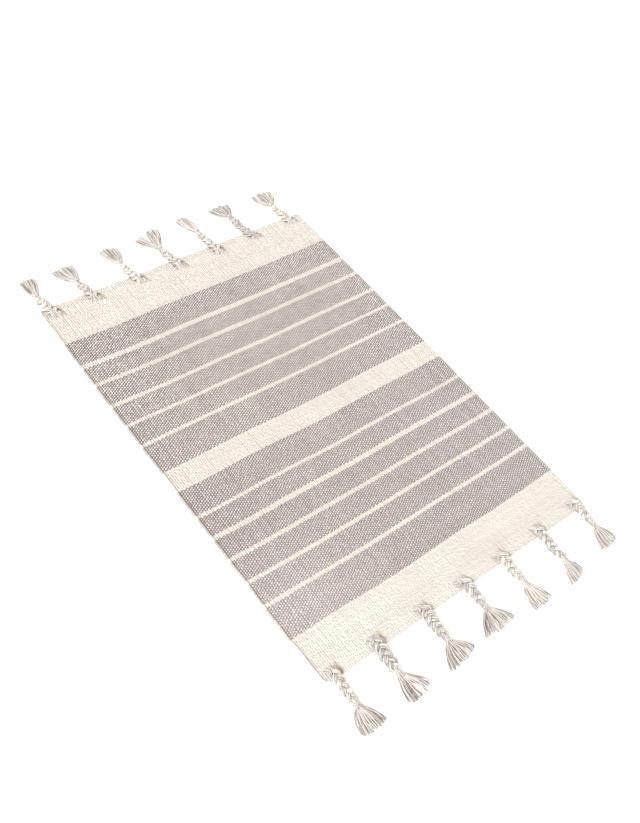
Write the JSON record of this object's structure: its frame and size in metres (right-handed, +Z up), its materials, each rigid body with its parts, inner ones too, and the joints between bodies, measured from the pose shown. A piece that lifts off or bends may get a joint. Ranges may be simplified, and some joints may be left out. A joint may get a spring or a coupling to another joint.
{
  "type": "bath mat",
  "caption": "Flat-woven striped cotton bath mat that lies flat on a floor, folds over at its middle, and has plaited, tied tassels along both short ends.",
  "frame": {"origin": "centre of the mat's underside, on the floor", "axes": "+X across the mat, +Y along it from the near tasselled end to the far one, +Z up through the cloth"},
  "size_m": [0.61, 1.058, 0.0152],
  "materials": {
    "cloth": "matt plain-woven cotton, cream with warm grey stripes",
    "yarn": "matt twisted cotton yarn, cream and warm grey mixed",
    "tie": "matt thin cotton thread, light grey"
  },
  "bodies": {
    "far_half": {"cloth_far_half": "cloth"},
    "near_half": {"cloth_near_half": "cloth"},
    "near_tassel_1": {"near_tassel_1_strand_a": "yarn", "near_tassel_1_strand_b": "yarn", "near_tassel_1_strand_c": "yarn", "near_tassel_1_tie": "tie"},
    "near_tassel_2": {"near_tassel_2_strand_a": "yarn", "near_tassel_2_strand_b": "yarn", "near_tassel_2_strand_c": "yarn", "near_tassel_2_tie": "tie"},
    "near_tassel_3": {"near_tassel_3_strand_a": "yarn", "near_tassel_3_strand_b": "yarn", "near_tassel_3_strand_c": "yarn", "near_tassel_3_tie": "tie"},
    "near_tassel_4": {"near_tassel_4_strand_a": "yarn", "near_tassel_4_strand_b": "yarn", "near_tassel_4_strand_c": "yarn", "near_tassel_4_tie": "tie"},
    "near_tassel_5": {"near_tassel_5_strand_a": "yarn", "near_tassel_5_strand_b": "yarn", "near_tassel_5_strand_c": "yarn", "near_tassel_5_tie": "tie"},
    "near_tassel_6": {"near_tassel_6_strand_a": "yarn", "near_tassel_6_strand_b": "yarn", "near_tassel_6_strand_c": "yarn", "near_tassel_6_tie": "tie"},
    "near_tassel_7": {"near_tassel_7_strand_a": "yarn", "near_tassel_7_strand_b": "yarn", "near_tassel_7_strand_c": "yarn", "near_tassel_7_tie": "tie"},
    "far_tassel_1": {"far_tassel_1_strand_a": "yarn", "far_tassel_1_strand_b": "yarn", "far_tassel_1_strand_c": "yarn", "far_tassel_1_tie": "tie"},
    "far_tassel_2": {"far_tassel_2_strand_a": "yarn", "far_tassel_2_strand_b": "yarn", "far_tassel_2_strand_c": "yarn", "far_tassel_2_tie": "tie"},
    "far_tassel_3": {"far_tassel_3_strand_a": "yarn", "far_tassel_3_strand_b": "yarn", "far_tassel_3_strand_c": "yarn", "far_tassel_3_tie": "tie"},
    "far_tassel_4": {"far_tassel_4_strand_a": "yarn", "far_tassel_4_strand_b": "yarn", "far_tassel_4_strand_c": "yarn", "far_tassel_4_tie": "tie"},
    "far_tassel_5": {"far_tassel_5_strand_a": "yarn", "far_tassel_5_strand_b": "yarn", "far_tassel_5_strand_c": "yarn", "far_tassel_5_tie": "tie"},
    "far_tassel_6": {"far_tassel_6_strand_a": "yarn", "far_tassel_6_strand_b": "yarn", "far_tassel_6_strand_c": "yarn", "far_tassel_6_tie": "tie"},
    "far_tassel_7": {"far_tassel_7_strand_a": "yarn", "far_tassel_7_strand_b": "yarn", "far_tassel_7_strand_c": "yarn", "far_tassel_7_tie": "tie"}
  },
  "joints": [
    {"name": "cloth_fold", "type": "hinge", "parent": "far_half", "child": "near_half", "pos_m": [0, 0, 0.0074], "axis": [-1, 0, 0], "range_deg": [0, 160]},
    {"name": "near_tassel_1_swing", "type": "hinge", "parent": "near_half", "child": "near_tassel_1", "pos_m": [-0.285, -0.409, 0.01001], "axis": [-1, 0, 0], "range_deg": [0, 165]},
    {"name": "near_tassel_2_swing", "type": "hinge", "parent": "near_half", "child": "near_tassel_2", "pos_m": [-0.195, -0.407, 0.01001], "axis": [-1, 0, 0], "range_deg": [0, 165]},
    {"name": "near_tassel_3_swing", "type": "hinge", "parent": "near_half", "child": "near_tassel_3", "pos_m": [-0.098, -0.408, 0.01001], "axis": [-1, 0, 0], "range_deg": [0, 165]},
    {"name": "near_tassel_4_swing", "type": "hinge", "parent": "near_half", "child": "near_tassel_4", "pos_m": [-0.008, -0.409, 0.01001], "axis": [-1, 0, 0], "range_deg": [0, 165]},
    {"name": "near_tassel_5_swing", "type": "hinge", "parent": "near_half", "child": "near_tassel_5", "pos_m": [0.084, -0.409, 0.01001], "axis": [-1, 0, 0], "range_deg": [0, 165]},
    {"name": "near_tassel_6_swing", "type": "hinge", "parent": "near_half", "child": "near_tassel_6", "pos_m": [0.182, -0.408, 0.01001], "axis": [-1, 0, 0], "range_deg": [0, 165]},
    {"name": "near_tassel_7_swing", "type": "hinge", "parent": "near_half", "child": "near_tassel_7", "pos_m": [0.281, -0.405, 0.01001], "axis": [-1, 0, 0], "range_deg": [0, 165]},
    {"name": "far_tassel_1_swing", "type": "hinge", "parent": "far_half", "child": "far_tassel_1", "pos_m": [-0.279, 0.399, 0.01001], "axis": [1, 0, 0], "range_deg": [0, 165]},
    {"name": "far_tassel_2_swing", "type": "hinge", "parent": "far_half", "child": "far_tassel_2", "pos_m": [-0.195, 0.4, 0.01001], "axis": [1, 0, 0], "range_deg": [0, 165]},
    {"name": "far_tassel_3_swing", "type": "hinge", "parent": "far_half", "child": "far_tassel_3", "pos_m": [-0.096, 0.402, 0.01001], "axis": [1, 0, 0], "range_deg": [0, 165]},
    {"name": "far_tassel_4_swing", "type": "hinge", "parent": "far_half", "child": "far_tassel_4", "pos_m": [-0.007, 0.4, 0.01001], "axis": [1, 0, 0], "range_deg": [0, 165]},
    {"name": "far_tassel_5_swing", "type": "hinge", "parent": "far_half", "child": "far_tassel_5", "pos_m": [0.085, 0.399, 0.01001], "axis": [1, 0, 0], "range_deg": [0, 165]},
    {"name": "far_tassel_6_swing", "type": "hinge", "parent": "far_half", "child": "far_tassel_6", "pos_m": [0.18, 0.401, 0.01001], "axis": [1, 0, 0], "range_deg": [0, 165]},
    {"name": "far_tassel_7_swing", "type": "hinge", "parent": "far_half", "child": "far_tassel_7", "pos_m": [0.276, 0.404, 0.01001], "axis": [1, 0, 0], "range_deg": [0, 165]}
  ]
}
